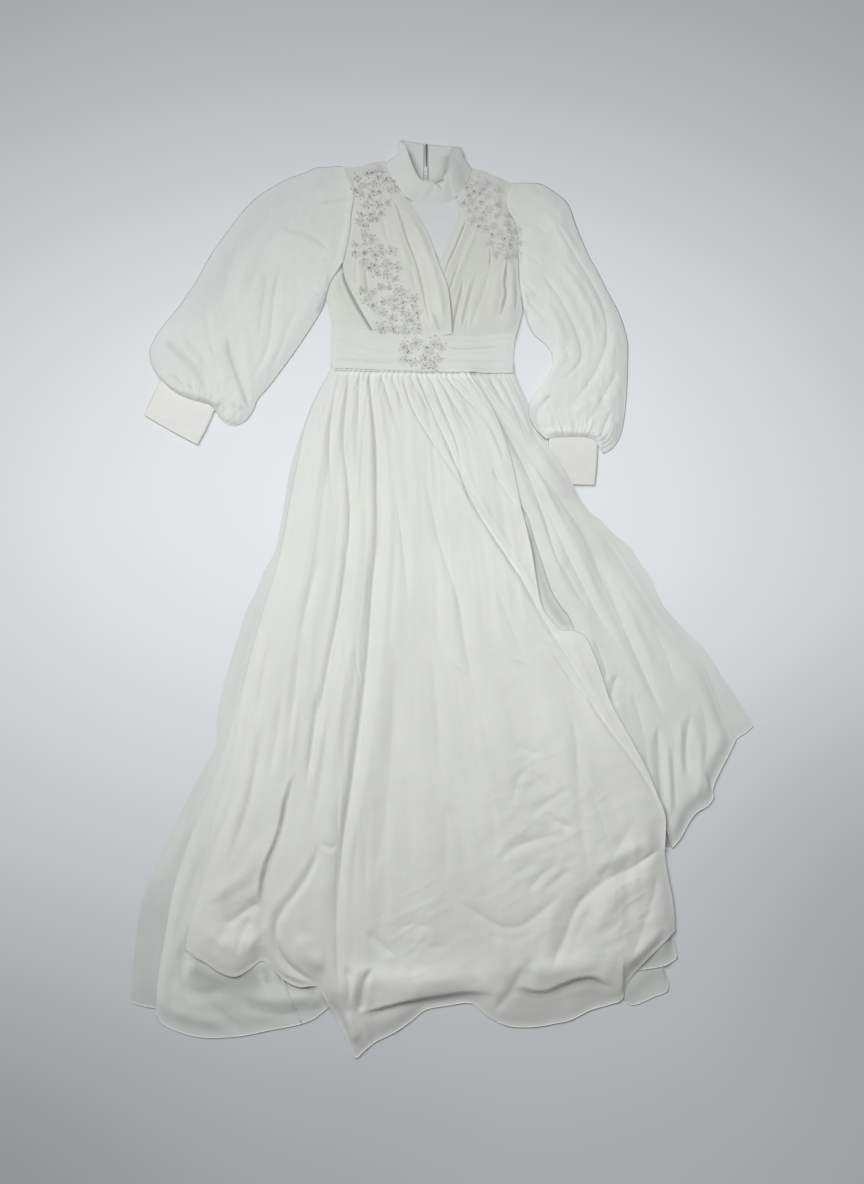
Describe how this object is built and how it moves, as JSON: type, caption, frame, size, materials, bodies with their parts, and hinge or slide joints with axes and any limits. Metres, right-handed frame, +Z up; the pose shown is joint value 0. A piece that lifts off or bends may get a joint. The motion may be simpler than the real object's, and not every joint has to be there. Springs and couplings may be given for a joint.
{
  "type": "engagement dress, laid flat",
  "caption": "Long white chiffon dress laid flat: stand collar, wrap bodice with lace appliques, ruched waistband, full sleeves with wide cuffs, and a gathered skirt with a wrap slit.",
  "frame": {"origin": "middle of the dress's footprint, on the surface it lies on", "axes": "+Y from the hem to the collar, +Z up out of the surface (the front of the dress), +X to the viewer's right"},
  "size_m": [0.991, 1.5494, 0.0157],
  "materials": {
    "chiffon": "ivory white chiffon, matt, slightly sheer",
    "lining": "ivory white inner layer, matt",
    "sleeve": "ivory white single chiffon, sheer",
    "crepe": "ivory white crepe, soft sheen",
    "lace": "corded flower lace with clear beads and sequins",
    "zip_tape": "white woven tape with a fine coil",
    "zip_metal": "bright plated metal"
  },
  "bodies": {
    "garment": {"skirt_back_left": "chiffon", "skirt_back_right": "chiffon", "skirt_lining": "lining", "skirt_under": "chiffon", "skirt_main": "chiffon", "bodice_back_left": "chiffon", "bodice_back_right": "chiffon", "bodice_side_left": "chiffon", "bodice_side_right": "chiffon", "yoke_inset": "chiffon", "front_wrap_left": "chiffon", "front_wrap_right": "chiffon", "waistband_front": "chiffon", "waistband_back_left": "chiffon", "waistband_back_right": "chiffon", "collar": "crepe", "sleeve_left": "sleeve", "sleeve_right": "sleeve", "cuff_left": "crepe", "cuff_right": "crepe", "lace_left": "lace", "lace_right": "lace", "lace_waist": "lace", "zip_tape": "zip_tape", "zip_slider": "zip_metal"},
    "pull_tab": {"zip_pull": "zip_metal"}
  },
  "joints": [
    {"name": "pull_tab_swing", "type": "hinge", "parent": "garment", "child": "pull_tab", "pos_m": [-0.0165, 0.70925, 0.0052], "axis": [-1, 0, 0], "range_deg": [0, 160]}
  ]
}
